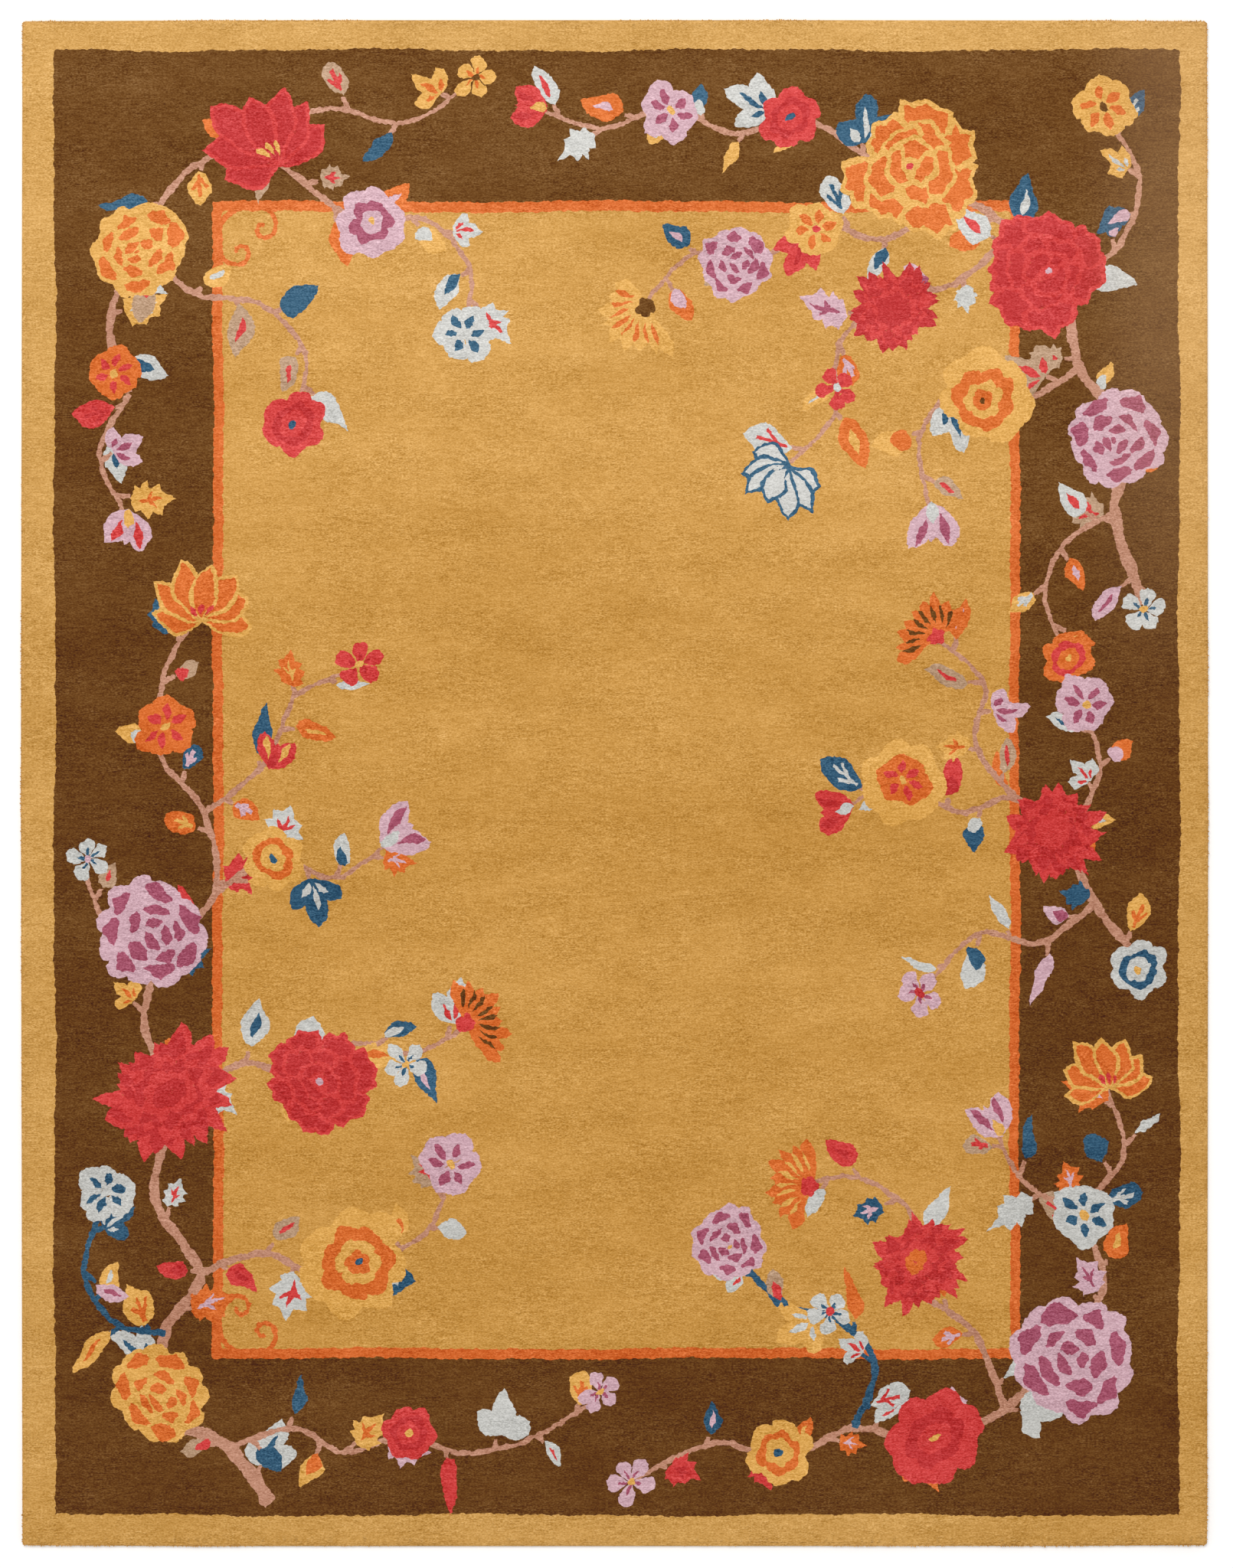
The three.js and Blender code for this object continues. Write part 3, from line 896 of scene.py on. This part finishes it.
bpy.ops.object.mode_set(mode="OBJECT")
oneTuft.data.calc_loop_triangles()
tuftPoints = np.array([tuple(v.co) for v in oneTuft.data.vertices])
tuftFaces = [tuple(face.vertices) for face in oneTuft.data.polygons]
print("one rim tuft:", len(oneTuft.data.loop_triangles), "triangles")

# Two rows of it stand round the rim, leaning out a little more in the outer row.
chance = np.random.default_rng(8)
allCoords, allFaces = [], []
outlinePoints = np.array(rugOutline(rimTuft["spacing"]))
for row in rimTuft["rows"]:
    ringPoints = outlinePoints * (1 - row["inset"] / np.array(half))
    outward = np.roll(ringPoints, -1, axis=0) - np.roll(ringPoints, 1, axis=0)
    outward = outward[:, ::-1] * (1, -1) / np.linalg.norm(outward, axis=1, keepdims=True)
    for (x, y), (ox, oy) in zip(ringPoints, outward):
        lean, turn = chance.normal(row["lean"], rimTuft["leanSpread"]), chance.uniform(0, fullTurn)
        size = chance.uniform(*rimTuft["size"])
        tall = chance.uniform(*rimTuft["tall"]) + row["taller"]
        c, s = math.cos(turn) * size, math.sin(turn) * size
        px, py, pz = (tuftPoints * (1, 1, tall)).T
        px, py = c * px - s * py, s * px + c * py
        sideways = chance.normal(0, rimTuft["sideways"])
        px, py = px + pz * (lean * ox - sideways * oy), py + pz * (lean * oy + sideways * ox)
        start = len(allCoords) * len(tuftPoints)
        allFaces += [tuple(start + v for v in face) for face in tuftFaces]
        root = slabLow.z + rimTuft["rootHeight"] * mm
        allCoords.append(np.column_stack((px + x * mm, py + y * mm, pz + root)))
bpy.data.objects.remove(oneTuft)
tuftMesh = bpy.data.meshes.new("rimTufts")
tuftMesh.from_pydata(np.concatenate(allCoords).tolist(), [], allFaces)
rimTufts = bpy.data.objects.new("rimTufts", tuftMesh)
bpy.context.scene.collection.objects.link(rimTufts)
onlyActive(rimTufts)
bpy.ops.object.shade_smooth()
edgeColours = tuftMesh.color_attributes.new("yarn", "FLOAT_COLOR", "CORNER")
edgeColours.data.foreach_set("color", np.tile(palette[yarnNames.index("edge")], len(tuftMesh.loops)))
print("rim tufts:", len(allCoords))


# An input is a value, another node's socket, or a node, which then gives its first output that is in use.
def addNode(tree, kind, settings=None, inputs=None):
    node = tree.nodes.new(kind)
    for name, value in (settings or {}).items():
        setattr(node, name, value)
    for socket, value in (inputs or {}).items():
        if isinstance(value, bpy.types.Node):
            value = next(output for output in value.outputs if output.enabled)
        if isinstance(value, bpy.types.NodeSocket):
            tree.links.new(value, node.inputs[socket])
        else:
            node.inputs[socket].default_value = value
    return node


def newMaterial(name):
    material = bpy.data.materials.new(name)
    material.use_nodes = True
    material.node_tree.nodes.clear()
    return material, material.node_tree


# Dyed wool in sheared cut pile: matt, and specked with the cut ends of the yarn, which lie in short dashes
# across the rug. Clumps and broad bands, where the pile leans another way, are lighter or darker. The
# mottling is added to the colour as the eye sees it, so that dark yarns have as much of it as light ones.
pile = {
    "bands": [
        {"size": 240, "strength": 0.085, "stretch": 0.3},  # dye lots and wear
        {"size": 80, "strength": 0.08, "stretch": 0.5},
        {"size": 26, "strength": 0.04, "stretch": 0.3},  # the lean of the pile
    ],
    "flecks": [
        {"size": 8, "strength": 0.065, "stretch": 0.25},  # rows
        {"size": 4.4, "strength": 0.15, "stretch": 0.2},  # tufts
        {"size": 2.2, "strength": 0.34, "stretch": 0.5},  # cut ends of the yarn
    ],
    # flecks are weak in some patches and strong in others
    "patch": {"size": 60, "stretch": 0.5, "from": 0.35, "to": 0.65, "weak": 0.85, "strong": 1.2},
    # painted shade: it is darker between the tufts, where shade falls in the gaps
    "tuft": {"pitch": 4.2, "stretch": 0.6, "from": 0.35, "to": 0.75, "dark": 0.03},
    # painted sheen: towards the top edge the yarns are painted paler, as if the pile leaned to the light,
    # and paler still at the top right, where a pale haze is painted in
    "paintedTopSheen": {"from": -100, "to": 1150, "pale": 0.05},
    "paintedCornerSheen": {"X": (900, 1100), "Y": (0, 950), "share": 0.085, "colour": "#e7bd8e"},
    "bumpDepth": 12, "bumpStrength": 0.5, "specular": 0.2,
    "roughness": 0.95, "sheen": 0.2, "sheenRoughness": 0.5, "sheenTint": "#ffe2ba",
}


# Noise of a given size across the rug, longer along X when its stretch is below 1
def rugNoise(tree, spot, layer):
    shift = (layer["size"] * 0.37, layer["size"] * 0.21, 0)  # no layer starts where another does
    stretched = addNode(tree, "ShaderNodeMapping", inputs={
        "Vector": spot, "Scale": (layer["stretch"], 1, 1), "Location": shift})
    return addNode(tree, "ShaderNodeTexNoise", inputs={
        "Vector": stretched, "Scale": 1 / (layer["size"] * mm), "Detail": 1})


# Layers of noise added up, about nought, so that they darken as much as they lighten
def mottled(tree, spot, layers):
    total = -0.5 * sum(layer["strength"] for layer in layers)
    for layer in layers:
        total = addNode(tree, "ShaderNodeMath", {"operation": "MULTIPLY_ADD"}, {
            0: rugNoise(tree, spot, layer), 1: layer["strength"], 2: total})
    return total


woolPile, tree = newMaterial("dyed wool, sheared cut pile")
spot = addNode(tree, "ShaderNodeTexCoord").outputs["Object"]
eased = {"interpolation_type": "SMOOTHSTEP"}
yarnColour = addNode(tree, "ShaderNodeVertexColor", {"layer_name": "yarn"})
tuftSpot = addNode(tree, "ShaderNodeMapping", inputs={
    "Vector": spot, "Scale": (pile["tuft"]["stretch"], 1, 1)})
tuft = addNode(tree, "ShaderNodeTexVoronoi", {"feature": "F1"}, {
    "Vector": tuftSpot, "Scale": 1 / (pile["tuft"]["pitch"] * mm)})
# painted shade in the gaps between the tufts
gap = addNode(tree, "ShaderNodeMapRange", eased, {
    "Value": tuft, "From Min": pile["tuft"]["from"], "From Max": pile["tuft"]["to"],
    "To Min": 0, "To Max": -pile["tuft"]["dark"]})
flecks = addNode(tree, "ShaderNodeMath", {"operation": "ADD"}, {
    0: mottled(tree, spot, pile["flecks"]), 1: gap})
patch = addNode(tree, "ShaderNodeMapRange", eased, {
    "Value": rugNoise(tree, spot, pile["patch"]), "From Min": pile["patch"]["from"],
    "From Max": pile["patch"]["to"], "To Min": pile["patch"]["weak"], "To Max": pile["patch"]["strong"]})
bands = mottled(tree, spot, pile["bands"])
total = addNode(tree, "ShaderNodeMath", {"operation": "MULTIPLY_ADD"}, {0: flecks, 1: patch, 2: bands})
place = addNode(tree, "ShaderNodeSeparateXYZ", inputs={"Vector": spot})
# painted sheen: the yarns are painted paler towards the top edge, standing in for light caught by the pile
paintedTopSheen = addNode(tree, "ShaderNodeMapRange", eased, {
    "Value": place.outputs["Y"], "From Min": pile["paintedTopSheen"]["from"] * mm, "From Max": pile["paintedTopSheen"]["to"] * mm,
    "To Min": 0, "To Max": pile["paintedTopSheen"]["pale"]})
shade = addNode(tree, "ShaderNodeMath", {"operation": "ADD"}, {0: total, 1: paintedTopSheen})
eyeGamma = 2.2
seen = addNode(tree, "ShaderNodeGamma", inputs={"Color": yarnColour, "Gamma": 1 / eyeGamma})
shaded = addNode(tree, "ShaderNodeVectorMath", {"operation": "ADD"}, {0: seen, 1: shade})
colour = addNode(tree, "ShaderNodeGamma", inputs={"Color": shaded, "Gamma": eyeGamma})
# painted sheen: the colour is mixed towards a pale haze at the top right, standing in for light caught
# there
nearRight, nearTop = [addNode(tree, "ShaderNodeMapRange", eased, {
    "Value": place.outputs[axis], "From Min": pile["paintedCornerSheen"][axis][0] * mm,
    "From Max": pile["paintedCornerSheen"][axis][1] * mm}) for axis in ("X", "Y")]
topRight = addNode(tree, "ShaderNodeMath", {"operation": "MULTIPLY"}, {0: nearRight, 1: nearTop})
paintedCornerSheen = addNode(tree, "ShaderNodeMath", {"operation": "MULTIPLY"}, {0: topRight, 1: pile["paintedCornerSheen"]["share"]})
withCornerSheen = addNode(tree, "ShaderNodeMix", {"data_type": "RGBA"}, {
    "Factor": paintedCornerSheen, "A": colour, "B": linearColour(pile["paintedCornerSheen"]["colour"])})
bump = addNode(tree, "ShaderNodeBump", inputs={
    "Height": total, "Distance": pile["bumpDepth"] * mm, "Strength": pile["bumpStrength"]})
shader = addNode(tree, "ShaderNodeBsdfPrincipled", inputs={
    "Base Color": withCornerSheen, "Normal": bump, "Roughness": pile["roughness"],
    "Sheen Weight": pile["sheen"], "Sheen Roughness": pile["sheenRoughness"],
    "Sheen Tint": linearColour(pile["sheenTint"]), "Specular IOR Level": pile["specular"]})
addNode(tree, "ShaderNodeOutputMaterial", inputs={"Surface": shader})

# Unbleached cotton backing cloth under latex: a dull cream plain weave with faint stains
backing = {
    "thread": 2, "wobble": 0.4, "depth": 0.5, "threads": 0.6, "stain": 111,
    "light": "#cbbf9f", "dark": "#9c8f70", "roughness": 0.85,
}
bandPitch = 0.314  # metres between two bands of a Wave texture at scale 1
backingCloth, tree = newMaterial("unbleached cotton backing cloth, plain weave")
spot = addNode(tree, "ShaderNodeTexCoord").outputs["Object"]
warp, weft = [addNode(tree, "ShaderNodeTexWave", {"bands_direction": direction}, {
    "Vector": spot, "Scale": bandPitch / (backing["thread"] * mm), "Distortion": backing["wobble"]})
    for direction in ("X", "Y")]
threads = addNode(tree, "ShaderNodeMath", {"operation": "MULTIPLY"}, {
    0: warp.outputs["Fac"], 1: weft.outputs["Fac"]})
stain = addNode(tree, "ShaderNodeTexNoise", inputs={
    "Vector": spot, "Scale": 1 / (backing["stain"] * mm), "Detail": 3})
shade = addNode(tree, "ShaderNodeMath", {"operation": "MULTIPLY_ADD"}, {
    0: threads, 1: backing["threads"], 2: stain})
cloth = addNode(tree, "ShaderNodeMix", {"data_type": "RGBA"}, {
    "Factor": shade, "A": linearColour(backing["dark"]), "B": linearColour(backing["light"])})
bump = addNode(tree, "ShaderNodeBump", inputs={"Height": threads, "Distance": backing["depth"] * mm})
shader = addNode(tree, "ShaderNodeBsdfPrincipled", inputs={
    "Base Color": cloth, "Normal": bump, "Roughness": backing["roughness"]})
addNode(tree, "ShaderNodeOutputMaterial", inputs={"Surface": shader})

sheetMesh.materials.append(woolPile)
sheetMesh.materials.append(backingCloth)
tuftMesh.materials.append(woolPile)
print("materials made")

for piece in (tuftedRug, rimTufts):
    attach(piece, "root")
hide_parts("rug")

# Studio, in metres: a white floor, a broad soft light high over the top left corner, and a pale surround
studio = {
    "floor": 60, "gap": 0.0002, "fibre": 0.25, "whites": ("#fafaf9", "#fdfdfd"), "floorRoughness": 0.9,
    "panelAt": (-2.0, 4.2, 14), "panel": 7.0, "power": 1230, "surround": 0.63,
}
bpy.ops.object.select_all(action="DESELECT")
bpy.ops.mesh.primitive_plane_add(size=studio["floor"], location=(0, 0, slabLow.z - studio["gap"]))
floor = bpy.context.object
floor.name = "floor"
paper, tree = newMaterial("matt white paper floor")
spot = addNode(tree, "ShaderNodeTexCoord").outputs["Object"]
fibre = addNode(tree, "ShaderNodeTexNoise", inputs={"Vector": spot, "Scale": 1 / studio["fibre"]})
dull, bright = [linearColour(hexColour) for hexColour in studio["whites"]]
white = addNode(tree, "ShaderNodeMix", {"data_type": "RGBA"}, {"Factor": fibre, "A": dull, "B": bright})
shader = addNode(tree, "ShaderNodeBsdfPrincipled", inputs={
    "Base Color": white, "Roughness": studio["floorRoughness"]})
addNode(tree, "ShaderNodeOutputMaterial", inputs={"Surface": shader})
floor.data.materials.append(paper)

bpy.ops.object.light_add(type="AREA", location=studio["panelAt"])
panel = bpy.context.object
panel.data.shape = "SQUARE"
panel.data.size = studio["panel"]
panel.data.energy = studio["power"]
panel.visible_camera = False
panel.rotation_euler = (-Vector(studio["panelAt"])).to_track_quat("-Z", "Y").to_euler()
world = bpy.data.worlds.new("surround")
world.use_nodes = True
world.node_tree.nodes["Background"].inputs["Color"].default_value = (1, 1, 1, 1)
world.node_tree.nodes["Background"].inputs["Strength"].default_value = studio["surround"]
bpy.context.scene.world = world
bpy.context.scene.view_settings.view_transform = "Standard"

# The camera looks straight down from 8 m, with the picture's top towards +Y.
photo = {"width": 1610, "height": 2048, "rugLeft": 28, "rugRight": 1577, "rugTop": 26, "rugBottom": 2020}
perPixel = (cadBox[1].y - cadBox[0].y) / (photo["rugBottom"] - photo["rugTop"])
shot = {"height": 8.0, "sensor": 36.0}
shotX = (photo["width"] - photo["rugLeft"] - photo["rugRight"]) / 2 * perPixel
shotY = (photo["rugTop"] + photo["rugBottom"] - photo["height"]) / 2 * perPixel
bpy.ops.object.camera_add(location=(shotX, shotY, shot["height"]), rotation=(0, 0, 0))
camera = bpy.context.object
camera.data.sensor_width = shot["sensor"]
camera.data.lens = shot["sensor"] * (shot["height"] - slabHigh.z) / (photo["height"] * perPixel)
camera.data.clip_end = 100
bpy.context.scene.camera = camera
